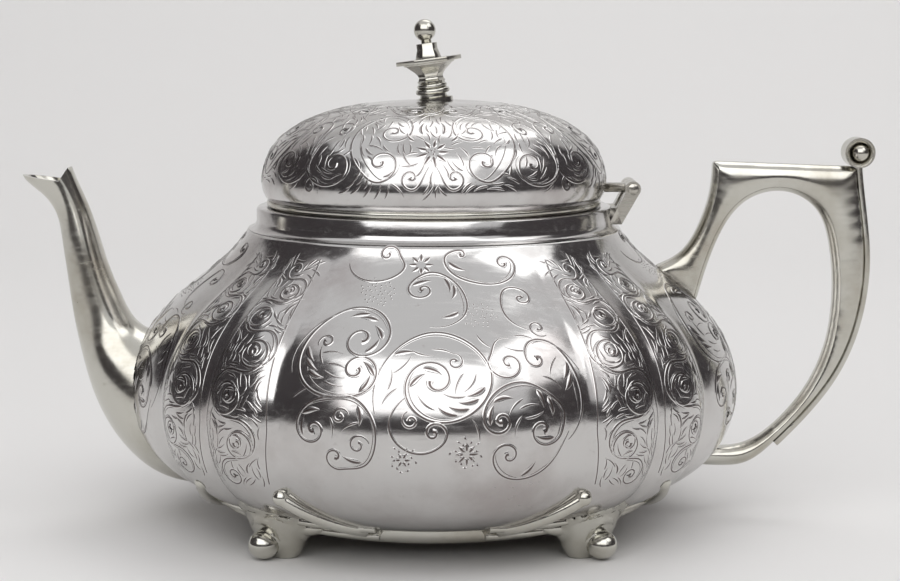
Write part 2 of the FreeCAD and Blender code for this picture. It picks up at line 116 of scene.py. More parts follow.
rough = calc(wear, "MULTIPLY_ADD", stain, 0.12, rough)
given_out = add(wear, "NodeGroupOutput")
feed(wear, given_out.inputs["Color"], blend_colour(wear, stain, given.outputs["Silver"], given.outputs["Tarnish"]))
feed(wear, given_out.inputs["Roughness"], rough)
feed(wear, given_out.inputs["Height"], calc(wear, "MULTIPLY_ADD", lines, 0.35, cloud))


def silver(name, colour, tarnish, amount, gloss, worn, bump):
    finish = bpy.data.materials.new(name)
    finish.use_nodes = True
    tree = finish.node_tree
    shader = tree.nodes["Principled BSDF"]
    skin = add(tree, "ShaderNodeGroup", node_tree=wear)
    for socket, value in zip(skin.inputs, ((*colour, 1.0), (*tarnish, 1.0), amount, gloss, worn)):
        socket.default_value = value
    dent = add(tree, "ShaderNodeBump")
    dent.inputs["Strength"].default_value = bump
    dent.inputs["Distance"].default_value = 0.1 * MM
    tree.links.new(skin.outputs["Height"], dent.inputs["Height"])
    tree.links.new(dent.outputs["Normal"], shader.inputs["Normal"])
    tree.links.new(skin.outputs["Color"], shader.inputs["Base Color"])
    tree.links.new(skin.outputs["Roughness"], shader.inputs["Roughness"])
    shader.inputs["Metallic"].default_value = 1.0
    return finish


chased_silver = silver("chased silver", (0.62, 0.61, 0.60), (0.36, 0.31, 0.30),
                       amount=0.55, gloss=0.13, worn=0.10, bump=0.25)
inner_silver = silver("inner silver", (0.50, 0.47, 0.43), (0.26, 0.20, 0.14),
                      amount=0.8, gloss=0.30, worn=0.12, bump=0.4)
cast_silver = silver("cast silver", (0.60, 0.59, 0.54), (0.34, 0.30, 0.23),
                     amount=0.6, gloss=0.15, worn=0.08, bump=0.12)
fitting_silver = silver("fitting silver", (0.54, 0.52, 0.47), (0.28, 0.24, 0.20),
                        amount=0.6, gloss=0.22, worn=0.12, bump=0.2)


# Bowl: raised from sheet into one wide and two narrow lobes in each quarter turn, with a flat
# floor cut open for the bottom plate. Its crest runs through the same stations as the solid.
low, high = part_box("neck_collar")
hub = Matrix.Translation(((low[0] + high[0]) / 2, 0.0, 0.0))
drain_radius = 46.0 * MM
wall = 1.2 * MM
crest_stations = [(57.6, 9.6), (73.0, 13.8), (84.6, 23.6), (89.2, 41.0), (84.6, 56.0), (74.0, 68.2), (60.2, 79.4),
                  (54.5, 86.7)]
belly_station = 3
lobe_depth = 3.6 * MM
floor_lobe_phase = 0.22


def smooth_through(stations, count):
    points = np.array(stations, float)
    steps = np.linalg.norm(np.diff(points, axis=0), axis=1)
    at = np.concatenate([[0.0], np.cumsum(steps)])
    size = len(at)
    system = np.zeros((size, size))
    known = np.zeros_like(points)
    for end, near in ((0, slice(0, 4)), (size - 1, slice(size - 4, size))):
        fit = np.polyfit(at[near] - at[end], points[near], 3)
        system[end, end] = 1.0
        known[end] = fit[2]
    for i in range(1, size - 1):
        a, b = steps[i - 1], steps[i]
        system[i, i - 1:i + 2] = b, 2 * (a + b), a
        known[i] = 3 * (b * (points[i] - points[i - 1]) / a + a * (points[i + 1] - points[i]) / b)
    slopes = np.linalg.solve(system, known)
    result = []
    for place in np.linspace(0.0, at[-1], count):
        i = min(int(np.searchsorted(at, place, side="right")) - 1, size - 2)
        t = (place - at[i]) / steps[i]
        result.append((2 * t ** 3 - 3 * t ** 2 + 1) * points[i] + (3 * t ** 2 - 2 * t ** 3) * points[i + 1]
                      + steps[i] * ((t ** 3 - 2 * t ** 2 + t) * slopes[i] + (t ** 3 - t ** 2) * slopes[i + 1]))
    return [tuple(p) for p in result], at


def line_object(name, points, radii=None):
    data = bpy.data.curves.new(name, "CURVE")
    data.dimensions = "3D"
    spline = data.splines.new("POLY")
    spline.points.add(len(points) - 1)
    for i, (x, z) in enumerate(points):
        spline.points[i].co = (x, 0.0, z, 1.0)
        spline.points[i].radius = radii[i] if radii else 1.0
    made = bpy.data.objects.new(name, data)
    bpy.context.scene.collection.objects.link(made)
    return made


crest_mm, crest_at = smooth_through(crest_stations, 160)
crest = [(r * MM, z * MM) for r, z in crest_mm]
shares = np.linspace(0.0, 1.0, len(crest))
depths = [max(lobe_depth * math.sin(math.pi * (floor_lobe_phase + (1 - floor_lobe_phase) * s)), 0.0) for s in shares]
bowl_line = line_object("bowl crest", [(drain_radius, crest[0][1])] + crest, [0.0] + depths)


def tree_of(name, *wanted):
    tree = bpy.data.node_groups.new(name, "GeometryNodeTree")
    tree.interface.new_socket("Geometry", in_out="INPUT", socket_type="NodeSocketGeometry")
    for label, kind in wanted:
        tree.interface.new_socket(label, in_out="INPUT", socket_type=kind)
    tree.interface.new_socket("Geometry", in_out="OUTPUT", socket_type="NodeSocketGeometry")
    return tree, add(tree, "NodeGroupInput").outputs, add(tree, "NodeGroupOutput").inputs["Geometry"]


def finished(source, tree, name, **values):
    changer = source.modifiers.new(tree.name, "NODES")
    changer.node_group = tree
    for item in tree.interface.items_tree:
        if item.item_type == "SOCKET" and item.in_out == "INPUT" and item.name in values:
            changer[item.identifier] = values[item.name]
    seen = source.evaluated_get(bpy.context.evaluated_depsgraph_get())
    mesh = bpy.data.meshes.new_from_object(seen)
    mesh.name = name
    source.modifiers.remove(changer)
    made = bpy.data.objects.new(name, mesh)
    bpy.context.scene.collection.objects.link(made)
    return made


def dressed(tree, geometry, material, result):
    for kind in ("GeometryNodeSetShadeSmooth", "GeometryNodeRealizeInstances", "GeometryNodeSetMaterial"):
        node = add(tree, kind)
        feed(tree, node.inputs["Geometry"], geometry)
        geometry = node.outputs["Geometry"]
    feed(tree, node.inputs["Material"], material)
    feed(tree, result, geometry)


FLOAT, COUNT, STUFF, THING = "NodeSocketFloat", "NodeSocketInt", "NodeSocketMaterial", "NodeSocketObject"
tree, given, result = tree_of("lobed bowl", ("Wide Half Angle", FLOAT), ("Narrow Drop", FLOAT),
                              ("Narrow Depth", FLOAT), ("Full Depth", FLOAT), ("Valley Softness", FLOAT),
                              ("Columns", COUNT), ("Rows", COUNT), ("Material", STUFF))
grid = add(tree, "GeometryNodeMeshGrid")
feed(tree, grid.inputs["Size X"], 1.0)
feed(tree, grid.inputs["Size Y"], 1.0)
feed(tree, grid.inputs["Vertices X"], calc(tree, "ADD", given["Columns"], 1.0))
feed(tree, grid.inputs["Vertices Y"], given["Rows"])
where = add(tree, "ShaderNodeSeparateXYZ")
feed(tree, where.inputs[0], add(tree, "GeometryNodeInputPosition").outputs[0])
turn = calc(tree, "MULTIPLY", where.outputs["X"], 2 * math.pi)
along = add(tree, "GeometryNodeSampleCurve", mode="FACTOR", use_all_curves=True)
feed(tree, along.inputs["Curves"], given["Geometry"])
feed(tree, along.inputs["Value"], add(tree, "GeometryNodeInputRadius").outputs[0])
feed(tree, along.inputs["Factor"], calc(tree, "ADD", where.outputs["Y"], 0.5))
depth = along.outputs["Value"]
station = add(tree, "ShaderNodeSeparateXYZ")
feed(tree, station.inputs[0], along.outputs["Position"])
radius = station.outputs["X"]
quarter = math.pi / 2
fold = calc(tree, "ABSOLUTE", calc(tree, "WRAP", turn, quarter / 2, -quarter / 2))
half = given["Wide Half Angle"]
narrow_half = calc(tree, "MULTIPLY", calc(tree, "SUBTRACT", quarter / 2, half), 0.5)
narrow_at = calc(tree, "ADD", half, narrow_half)
share = calc(tree, "DIVIDE", depth, given["Full Depth"])
wide = calc(tree, "MULTIPLY", depth, calc(tree, "POWER", calc(tree, "DIVIDE", fold, half), 2.0))
drop = calc(tree, "MULTIPLY", given["Narrow Drop"], share)
outer_fall = calc(tree, "SUBTRACT", depth, drop)
inner_fall = calc(tree, "MULTIPLY", given["Narrow Depth"], calc(tree, "POWER", share, 2.0))
off = calc(tree, "SUBTRACT", fold, narrow_at)
side = calc(tree, "GREATER_THAN", off, 0.0)
fall = calc(tree, "ADD", calc(tree, "MULTIPLY", side, inner_fall),
            calc(tree, "MULTIPLY", calc(tree, "SUBTRACT", 1.0, side), outer_fall))
narrow = calc(tree, "MULTIPLY_ADD", fall, calc(tree, "POWER", calc(tree, "DIVIDE", off, narrow_half), 2.0), drop)
far = calc(tree, "DIVIDE", calc(tree, "SUBTRACT", calc(tree, "SUBTRACT", quarter, fold), narrow_at), narrow_half)
beyond = calc(tree, "MULTIPLY_ADD", inner_fall, calc(tree, "POWER", far, 2.0), drop)
soft = calc(tree, "MULTIPLY", given["Valley Softness"], share)
inset = calc(tree, "SMOOTH_MIN", calc(tree, "SMOOTH_MIN", wide, narrow, soft), beyond, soft)
out = calc(tree, "SUBTRACT", radius, inset)
spot = add(tree, "ShaderNodeCombineXYZ")
feed(tree, spot.inputs["X"], calc(tree, "MULTIPLY", out, calc(tree, "COSINE", turn)))
feed(tree, spot.inputs["Y"], calc(tree, "MULTIPLY", out, calc(tree, "SINE", turn)))
feed(tree, spot.inputs["Z"], station.outputs["Z"])
move = add(tree, "GeometryNodeSetPosition")
feed(tree, move.inputs["Geometry"], grid.outputs["Mesh"])
feed(tree, move.inputs["Position"], spot.outputs[0])
weld = add(tree, "GeometryNodeMergeByDistance")
feed(tree, weld.inputs["Geometry"], move.outputs["Geometry"])
feed(tree, weld.inputs["Distance"], 0.01 * MM)
dressed(tree, weld.outputs["Geometry"], given["Material"], result)
bowl = finished(bowl_line, tree, "bowl", **{"Wide Half Angle": math.radians(29.0), "Narrow Drop": 0.8 * MM,
                "Narrow Depth": 2.4 * MM, "Full Depth": lobe_depth, "Valley Softness": 0.5 * MM, "Columns": 360,
                "Rows": 110, "Material": chased_silver})


def applied(piece, kind, **settings):
    changer = piece.modifiers.new(kind.lower(), kind)
    for name, value in settings.items():
        setattr(changer, name, value)
    seen = piece.evaluated_get(bpy.context.evaluated_depsgraph_get())
    mesh = bpy.data.meshes.new_from_object(seen)
    piece.modifiers.remove(changer)
    piece.data = mesh


def belongs(piece, body, slot, *nodes):
    piece.data.transform(hub)
    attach(piece, body)
    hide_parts(*nodes)


made = bmesh.new()
made.from_mesh(bowl.data)
bowl_middle = Vector((0.0, 0.0, 45.0 * MM))
facing = sum((face.normal.dot(face.calc_center_median() - bowl_middle) for face in made.faces))
if facing < 0:
    bmesh.ops.reverse_faces(made, faces=made.faces)
made.to_mesh(bowl.data)
made.free()
bowl.data.materials.append(inner_silver)
bare_bowl = bowl.copy()
bare_bowl.data = bowl.data.copy()
bpy.context.scene.collection.objects.link(bare_bowl)
applied(bowl, "SOLIDIFY", thickness=wall, offset=-1.0, use_even_offset=True, material_offset=1)


# Strainer: rows of round holes drilled through the bowl's wall where the spout covers it, so
# that the leaves stay in the pot. The holes are cut from the finished wall.
strainer_radius = 1.4 * MM
strainer_pitch = 5.0 * MM
strainer_rows = 5
strainer_height = 33.0 * MM
strainer_reach = 75.0 * MM
drill_length = 50.0 * MM
holes = bmesh.new()
for row in range(strainer_rows):
    step = row - (strainer_rows - 1) / 2
    count = strainer_rows - int(abs(step))
    for i in range(count):
        spot = Vector((-strainer_reach, (i - (count - 1) / 2) * strainer_pitch,
                       strainer_height + step * strainer_pitch * math.cos(math.pi / 6)))
        drill = Matrix.Translation(spot) @ Matrix.Rotation(math.pi / 2, 4, "Y")
        bmesh.ops.create_cone(holes, cap_ends=True, segments=16, radius1=strainer_radius, radius2=strainer_radius,
                              depth=drill_length, matrix=drill)
hole_mesh = bpy.data.meshes.new("strainer holes")
holes.to_mesh(hole_mesh)
holes.free()
hole_maker = bpy.data.objects.new("strainer holes", hole_mesh)
bpy.context.scene.collection.objects.link(hole_maker)
applied(bowl, "BOOLEAN", operation="DIFFERENCE", solver="EXACT", object=hole_maker)
bpy.data.objects.remove(hole_maker)
belongs(bowl, "pot", "chased_silver", "body_shell")


# Turned pieces: bottom plate, base ring, neck collar, and the lid's edge, bezel and dome. Each
# is spun or rolled from sheet and soldered, so it is a profile swept once round the pot's axis.
def rounded(points, radius, steps=4):
    result = []
    count = len(points)
    for i in range(count):
        corner = Vector(points[i])
        before = (Vector(points[i - 1]) - corner)
        after = (Vector(points[(i + 1) % count]) - corner)
        reach = min(radius, before.length / 2.2, after.length / 2.2)
        a = corner + before.normalized() * reach
        b = corner + after.normalized() * reach
        for k in range(steps + 1):
            t = k / steps
            result.append(tuple(a * (1 - t) ** 2 + corner * (2 * t * (1 - t)) + b * t ** 2))
    return result


def turned(name, profile, finish, segments=256, closed=True):
    mesh = bpy.data.meshes.new(name)
    made = bmesh.new()
    rings = []
    for i in range(segments):
        turn = 2 * math.pi * i / segments
        rings.append([made.verts.new((r * MM * math.cos(turn), r * MM * math.sin(turn), z * MM)) for r, z in profile])
    count = len(profile)
    for i in range(segments):
        near, next_ring = rings[i], rings[(i + 1) % segments]
        for k in range(count if closed else count - 1):
            m = (k + 1) % count
            made.faces.new((near[k], near[m], next_ring[m], next_ring[k]))
    bmesh.ops.remove_doubles(made, verts=made.verts, dist=0.001 * MM)
    bmesh.ops.recalc_face_normals(made, faces=made.faces)
    for face in made.faces:
        face.smooth = True
    made.to_mesh(mesh)
    made.free()
    mesh.materials.append(finish)
    mesh.set_sharp_from_angle(angle=math.radians(35))
    piece = bpy.data.objects.new(name, mesh)
    bpy.context.scene.collection.objects.link(piece)
    return piece


bottom_plate = turned("bottom_plate", [(0.0, 10.8)] + rounded([(50.0, 10.8), (50.0, 12.0)], 0.4) + [(0.0, 12.0)],
                      inner_silver, closed=False)
belongs(bottom_plate, "pot", "chased_silver", "base_disc")

ring_profile = [(52.2, 9.6), (52.2, 5.2), (56.1, 5.2), (57.0, 6.1), (57.2, 7.4), (57.2, 9.6)]
base_ring = turned("base_ring_turned", rounded(ring_profile, 0.6), cast_silver)
belongs(base_ring, "pot", "chased_silver", "base_ring")

neck_profile = [(54.5, 86.72), (53.4, 87.0), (52.6, 87.6), (52.15, 88.4), (52.0, 89.2), (52.0, 92.2), (51.7, 92.8),
                (51.2, 93.0), (48.6, 93.0), (48.15, 92.8), (48.0, 92.3), (48.0, 86.72)]
neck_collar = turned("neck_collar_turned", neck_profile, chased_silver)
belongs(neck_collar, "pot", "chased_silver", "neck_collar")


# Cast pieces: spout, handle, feet, hinge and finial are cast in sand, filed and soldered on.
# Each is a welded copy of its solid with smooth faces, and some have their edges eased by the buff.
def cast_copy(name, node, finish, angle=32.0, ease=0.0):
    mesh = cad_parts[node].data.copy()
    mesh.transform(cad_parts[node].matrix_world)
    mesh.name = name
    made = bmesh.new()
    made.from_mesh(mesh)
    bmesh.ops.remove_doubles(made, verts=made.verts, dist=0.002 * MM)
    if ease:
        bmesh.ops.dissolve_limit(made, angle_limit=math.radians(2.0), verts=made.verts, edges=made.edges)
    for face in made.faces:
        face.smooth = True
        face.material_index = 0
    made.to_mesh(mesh)
    made.free()
    mesh.materials.clear()
    mesh.materials.append(finish)
    mesh.set_sharp_from_angle(angle=math.radians(angle))
    piece = bpy.data.objects.new(name, mesh)
    bpy.context.scene.collection.objects.link(piece)
    if ease:
        applied(piece, "BEVEL", width=ease, segments=2, limit_method="ANGLE", angle_limit=math.radians(25.0),
                harden_normals=False, use_clamp_overlap=True)
        piece.data.set_sharp_from_angle(angle=math.radians(50.0))
    piece.data.transform(hub.inverted())
    return piece


for node in ("spout", "handle_bead", "handle_scroll_ring", "handle_scroll_ball"):
    belongs(cast_copy(node + "_casting", node, cast_silver), "pot", "cast_silver", node)


# Feet: four castings, each with a ball toe, a short leg and ribbed leaves that run along the base.
# The solder that holds one fills the corners between leg, leaves and bowl with a soft hollow,
# which is found by swelling foot and bowl together and shrinking them back.
solder_radius = 5.0 * MM
solder_grain = 0.6 * MM
solder_seam = 0.22 * MM
solder_sink = 0.12 * MM
patch_reach = 9.0 * MM
patch_depth = 4.0 * MM
solder_top = (16.5 * MM, 19.5 * MM)
solder_side = (8.0 * MM, 13.0 * MM)
toe_clear = (5.0 * MM, 8.0 * MM)
toe_height = 4.2 * MM
toe_top = 9.0 * MM
bowl_surface = BVHTree.FromObject(bare_bowl, bpy.context.evaluated_depsgraph_get())


def bowl_patch(name, drawn):
    near = bmesh.new()
    near.from_mesh(bare_bowl.data)
    far_off = [f for f in near.faces if drawn.find_nearest(f.calc_center_median())[3] > patch_reach]
    bmesh.ops.delete(near, geom=far_off, context="FACES")
    mesh = bpy.data.meshes.new(name)
    near.to_mesh(mesh)
    near.free()
    patch = bpy.data.objects.new(name, mesh)
    bpy.context.scene.collection.objects.link(patch)
    applied(patch, "SOLIDIFY", thickness=patch_depth, offset=-1.0)
    return patch


def between(value, low, high):
    share = min(max((value - low) / (high - low), 0.0), 1.0)
    return share * share * (3.0 - 2.0 * share)


def solder(name, foot, drawn):
    hollow = bowl_patch(name, drawn)
    both = bmesh.new()
    both.from_mesh(foot.data)
    both.from_mesh(hollow.data)
    both.to_mesh(hollow.data)
    both.free()
    applied(hollow, "REMESH", mode="VOXEL", voxel_size=solder_grain)
    for move in (solder_radius, -solder_radius):
        applied(hollow, "DISPLACE", strength=move, mid_level=0.0, direction="NORMAL")
        applied(hollow, "REMESH", mode="VOXEL", voxel_size=solder_grain)
    applied(hollow, "SMOOTH", factor=0.5, iterations=8)
    low_part = [v.co for v in foot.data.vertices if v.co.z < toe_top]
    aim = sum(low_part, Vector()).xy.normalized()
    outer = max(spot.xy.dot(aim) for spot in low_part)
    toe = Vector((*(aim * (outer - toe_height)), toe_height))
    fill = bmesh.new()
    fill.from_mesh(hollow.data)
    standing = {}
    for v in fill.verts:
        found = []
        for surface in (drawn, bowl_surface):
            seat, normal, _, gap = surface.find_nearest(v.co)
            found.append((gap if (v.co - seat).dot(normal) > 0 else -gap, seat - normal * solder_sink))
        proud, seat = min(found, key=lambda each: each[0])
        kept = (1.0 - between(v.co.z, *solder_top)) * (1.0 - between(abs(aim.cross(v.co.xy)), *solder_side))
        kept *= between((v.co - toe).length, *toe_clear)
        standing[v] = kept * proud > solder_seam
        v.co = seat.lerp(v.co, kept) if standing[v] else seat
    idle = [f for f in fill.faces if not any(standing[v] for v in f.verts)]
    bmesh.ops.delete(fill, geom=idle, context="FACES")
    for face in fill.faces:
        face.smooth = True
    fill.to_mesh(hollow.data)
    fill.free()
    return hollow


for node in ("foot_front_left", "foot_front_right", "foot_back_left", "foot_back_right"):
    foot = cast_copy(node + "_casting", node, cast_silver)
    hollow = solder(node + " solder", foot, BVHTree.FromObject(foot, bpy.context.evaluated_depsgraph_get()))
    whole = bmesh.new()
    whole.from_mesh(foot.data)
    whole.from_mesh(hollow.data)
    for face in whole.faces:
        face.material_index = 0
    whole.to_mesh(foot.data)
    whole.free()
    bpy.data.objects.remove(hollow)
    belongs(foot, "pot", "cast_silver", node)


# Handle: one flat casting whose cheeks are filed to a pillow and buffed, so that its edges are
# soft. The cheeks keep their full thickness in the middle and where they meet the bowl.
handle = cast_copy("handle_frame_casting", "handle_frame", cast_silver)
applied(handle, "REMESH", mode="VOXEL", voxel_size=0.5 * MM, use_smooth_shade=True)
cheek_reach = 6.2 * MM
cheek_fall = 0.5
root_reach = 7.0 * MM
rim = [v.co for v in handle.data.vertices if abs(v.normal.y) < 0.6]
edge_tree = KDTree(len(rim))
for i, spot in enumerate(rim):
    edge_tree.insert((spot.x, 0.0, spot.z), i)
edge_tree.balance()
clear = handle.vertex_groups.new(name="clear of the bowl")
for v in handle.data.vertices:
    gap = bowl_surface.find_nearest(v.co)[3]
    free = min(gap / root_reach, 1.0)
    clear.add([v.index], free, "REPLACE")
    inset = min(edge_tree.find((v.co.x, 0.0, v.co.z))[2] / cheek_reach, 1.0)
    v.co.y *= 1.0 - free * cheek_fall * (1.0 - math.sqrt(1.0 - (1.0 - inset) ** 2))
applied(handle, "SMOOTH", factor=0.5, iterations=14, vertex_group=clear.name)
handle.data.materials.clear()
handle.data.materials.append(cast_silver)
handle.vertex_groups.clear()
belongs(handle, "pot", "cast_silver", "handle_frame")


# Hinge on the pot: a leaf soldered to the neck with two knuckles, and the pin that runs through.
# Both are drawn from brass-like fitting metal and left with a file finish.
for node in ("hinge_lower_leaf", "hinge_pin"):
    belongs(cast_copy(node + "_piece", node, fitting_silver), "pot", "fitting_silver", node)


# Lid: a spun dome on a flat edge, with a bezel soldered under it that drops into the neck.
# The dome's section is a full curve, nearly straight at the belt and flat on top.
lid_low = 94.8
lid_belt = 98.8
lid_radius = 50.4
lid_rise = 25.0
lid_fullness = 2.45
lid_tuck = 48.5


def dome_profile(inset, count=48):
    points = [(lid_tuck - inset, lid_low)]
    steps = 10
    for i in range(steps):
        turn = math.pi / 2 * i / steps
        points.append(((lid_radius - inset) * math.cos(turn) ** (2 / lid_fullness),
                       lid_belt + (lid_rise - inset) * math.sin(turn) ** (2 / lid_fullness)))
    points.append((0.0, lid_belt + lid_rise - inset))
    return smooth_through(points, count)[0]


dome_outside = dome_profile(0.0)
dome_outside[-1] = (0.0, dome_outside[-1][1])
dome_inside = dome_profile(1.2)
dome_inside[-1] = (0.0, dome_inside[-1][1])
lid_dome = turned("lid_dome_spun", dome_outside + dome_inside[::-1], chased_silver)
bare_dome = lid_dome.copy()
bare_dome.data = lid_dome.data.copy()
belongs(lid_dome, "lid", "chased_silver", "lid_dome")
edge_profile = [(46.2, 93.3), (49.0, 93.3), (49.0, 94.8), (46.2, 94.8)]
lid_edge = turned("lid_edge_turned", rounded(edge_profile, 0.5), cast_silver)
belongs(lid_edge, "lid", "chased_silver", "lid_edge")
bezel_profile = [(46.2, 88.5), (47.2, 88.5), (47.2, 93.3), (46.2, 93.3)]
lid_bezel = turned("lid_bezel_turned", rounded(bezel_profile, 0.3), inner_silver)
belongs(lid_bezel, "lid", "chased_silver", "lid_bezel")
belongs(cast_copy("hinge_upper_leaf_piece", "hinge_upper_leaf", fitting_silver), "lid", "fitting_silver",
        "hinge_upper_leaf")


# Finial: a turned foot, a six-sided cup and cap and a ball, threaded on one stud that a nut and
# washer hold under the dome. Its flats are filed, so their edges are only just eased.
for node, ease in (("finial_foot", 0.0), ("finial_cup", 0.12 * MM), ("finial_cap", 0.12 * MM), ("finial_ball", 0.0)):
    belongs(cast_copy(node + "_piece", node, cast_silver, 30.0, ease), "lid", "cast_silver", node)
for node, ease in (("finial_stud", 0.0), ("finial_washer", 0.0), ("finial_nut", 0.1 * MM)):
    belongs(cast_copy(node + "_piece", node, fitting_silver, 30.0, ease), "lid", "fitting_silver", node)


# Chased ornament: scrolls, leaf strokes and dots struck into the bowl and the lid with small
# punches. A struck line is a groove between two raised lips, dark in the middle with tarnish.
def scroll(at, radius, aim, turn, end, hand=1, width=1.0, start=0.4):
    steps = max(int(turn / (9 if radius > 4 else 15)), 10)
    angle = math.radians(aim)
    x = at[0] + radius * math.cos(angle)
    y = at[1] + radius * math.sin(angle)
    heading = angle + hand * math.pi / 2
    bend = math.radians(turn) / steps
    points = []
    for i in range(steps + 1):
        t = i / steps
        swell = start + (1.0 - start) * math.sin(math.pi * min(1.5 * t, 0.5)) + 5.0 * max(t - 0.9, 0.0)
        points.append((x, y, width * swell))
        reach = radius * (end / radius) ** (t ** 1.15)
        heading += hand * bend / 2
        x += reach * bend * math.cos(heading)
        y += reach * bend * math.sin(heading)
        heading += hand * bend / 2
    return points


def leaf(at, length, aim, bend, width=1.3):
    steps = 8
    x, y = at
    heading = math.radians(aim)
    points = []
    for i in range(steps + 1):
        t = i / steps
        points.append((x, y, 0.15 + width * math.sin(math.pi * t ** 0.7)))
        x += length / steps * math.cos(heading)
        y += length / steps * math.sin(heading)
        heading += math.radians(bend) / steps
    return points


def beside(stroke, gap, first, last, width):
    chosen = stroke[int(first * len(stroke)):int(last * len(stroke))]
    points = []
    for i in range(1, len(chosen) - 1):
        (x, y, _), (a, b, _), (c, d, _) = chosen[i], chosen[i - 1], chosen[i + 1]
        t = i / (len(chosen) - 1)
        size = math.hypot(c - a, d - b)
        off = gap * math.sin(math.pi * t)
        swell = width * (0.35 + 0.65 * math.sin(math.pi * t))
        points.append((x + off * (d - b) / size, y - off * (c - a) / size, swell))
    return points


def rosette(at, radius, petals):
    strokes = []
    for i in range(petals):
        aim = 360.0 * i / petals
        turn = math.radians(aim)
        base = (at[0] + 0.3 * radius * math.cos(turn), at[1] + 0.3 * radius * math.sin(turn))
        strokes.append(leaf(base, 0.7 * radius, aim, 0.0, 0.9 + 0.12 * radius))
    return strokes


def dots(at, radius, count, size):
    strokes = []
    for i in range(count):
        aim = 2.4 * i
        reach = radius * math.sqrt((i + 0.5) / count)
        base = (at[0] + reach * math.cos(aim), at[1] + reach * math.sin(aim))
        strokes.append(leaf(base, 0.5, 30.0 * i, 0.0, size))
    return strokes


def fillers(strokes, half_width, low, high, gap, most, seed):
    chance = np.random.default_rng(seed)
    taken = np.array([a[:2] for stroke in strokes for a in stroke[:-1]])
    heading = np.array([math.atan2(b[1] - a[1], b[0] - a[0])
                        for stroke in strokes for a, b in zip(stroke, stroke[1:])])
    added = []
    for y in np.arange(low, high, 1.0):
        for x in np.arange(-half_width(y), half_width(y), 1.0):
            spot = np.array((x, y)) + chance.uniform(-0.35, 0.35, 2)
            away = np.hypot(*(taken - spot).T)
            nearest = int(away.argmin())
            room = float(away[nearest])
            if room < gap or abs(spot[0]) > half_width(y) - 0.4:
                continue
            hand = 1 if chance.random() < 0.5 else -1
            if room > 2.5 * gap:
                size = min(0.84 * room, most)
                mark = scroll(tuple(spot), size, chance.uniform(0.0, 360.0), 470.0, 0.24 * size, hand, 0.8)
            else:
                aim = heading[nearest]
                length = 1.8 + 1.5 * room
                base = spot - 0.5 * length * np.array((math.cos(aim), math.sin(aim)))
                mark = leaf(tuple(base), length, math.degrees(aim) - hand * 22.0, hand * 44.0, 0.62)
            added.append(mark)
            taken = np.vstack([taken, [a[:2] for a in mark[:-1]]])
            heading = np.append(heading, [math.atan2(b[1] - a[1], b[0] - a[0]) for a, b in zip(mark, mark[1:])])
    return added


def winding(eye, radius, aim, turn, hand, inward):
    count = int(turn / 24)
    points = []
    for i in range(count + 1):
        t = i / count
        angle = math.radians(aim + hand * turn * t * (1 if inward else -1))
        reach = radius * 0.13 ** (t ** 1.1)
        points.append((eye[0] + reach * math.cos(angle), eye[1] + reach * math.sin(angle)))
    return points if inward else points[::-1]


def running(first, way, second, hand, bend=1, width=1.0):
    knots = winding(*first, hand, False) if first else []
    knots += list(way) + (winding(*second, hand * bend, True) if second else [])
    length = sum(math.dist(a, b) for a, b in zip(knots, knots[1:]))
    drawn = smooth_through(knots, max(int(length / 0.62), 16))[0]
    points = []
    for i, (x, y) in enumerate(drawn):
        t = i / (len(drawn) - 1)
        from_eye = min(t if first else 1.0, 1.0 - t if second else 1.0)
        tail = min(1.0 if first else t, 1.0 if second else 1.0 - t)
        swell = (0.35 + 0.65 * min(4.0 * tail, 1.0)) * (1.0 + 0.9 * max(0.0, 1.0 - from_eye / 0.035))
        points.append((x, y, width * swell))
    strokes = [points]
    if length > 45.0:
        strokes.append(beside(points, -hand * 0.95, 0.25 if first else 0.05, 0.62, 0.55))
        strokes.append(beside(points, -hand * 0.8, 0.55, 0.86, 0.5))
    return strokes


def sprigs(stroke, hand, strokes):
    taken = np.array([a[:2] for other in strokes if other is not stroke for a in other])
    leaves = []
    for k in range(int(0.16 * len(stroke)), int(0.84 * len(stroke)), sprig_pitch):
        (x, y, _), (a, b, _) = stroke[k], stroke[k + 1]
        aim = math.atan2(b - y, a - x)
        side = aim + hand * math.pi / 2
        base = (x + sprig_gap * math.cos(side), y + sprig_gap * math.sin(side))
        sprig = leaf(base, sprig_length, math.degrees(aim) + hand * sprig_lean, hand * sprig_bend, sprig_width)
        own = np.array([p[:2] for p in stroke[:max(k - 6, 0)] + stroke[k + 14:]] + [(x - 99.0, y)])
        tip = np.array([p[:2] for p in sprig[2:]])
        room = min(np.hypot(*(near - spot).T).min() for near in (taken, own) for spot in tip)
        if room > sprig_room:
            leaves.append(sprig)
            taken = np.vstack([taken, tip])
    return leaves


# Places on a panel are millimetres across from its middle line and up from the belly's crest.
sprig_pitch = 6
sprig_length = 5.6
sprig_width = 1.6
sprig_gap = 1.0
sprig_lean = 24.0
sprig_bend = 44.0
sprig_room = 0.95
least_stem = 72
great_scroll = (None, ((-14, 7), (-14.5, 14), (-11, 23), (0, 30), (10.5, 26.5), (15.5, 17.5), (12.5, 9.5)),
                ((1, 15.5), 11, -75, 470), -1)
left_scroll = (((-19, 28), 8.5, 40, 480), ((-15.5, 37), (-24, 38.5), (-31.5, 33.5), (-35.5, 24.5), (-34, 16.5),
               (-29, 12), (-22, 11)), ((-19, 18.5), 6.5, -60, 470), 1)
lower_left_scroll = (((-32, 2), 5, 180, 480), ((-35, 8), (-28.5, 11), (-20, 10.5), (-15.5, 5.5), (-14.5, -1),
                     (-17.5, -7)), ((-25.5, -5), 4, -60, 420), -1)
hanging_scroll = (None, ((-6.5, 11.5), (-9.5, 8.5), (-11, 4.5), (-9.5, 0), (-5, -3), (0.5, -2.5)),
                  ((0.5, 2), 3.5, 0, 470), 1)
right_bud = (None, ((21.5, 28), (17, 26.5), (15.5, 23)), ((20, 20.5), 5.5, 185, 470), 1)
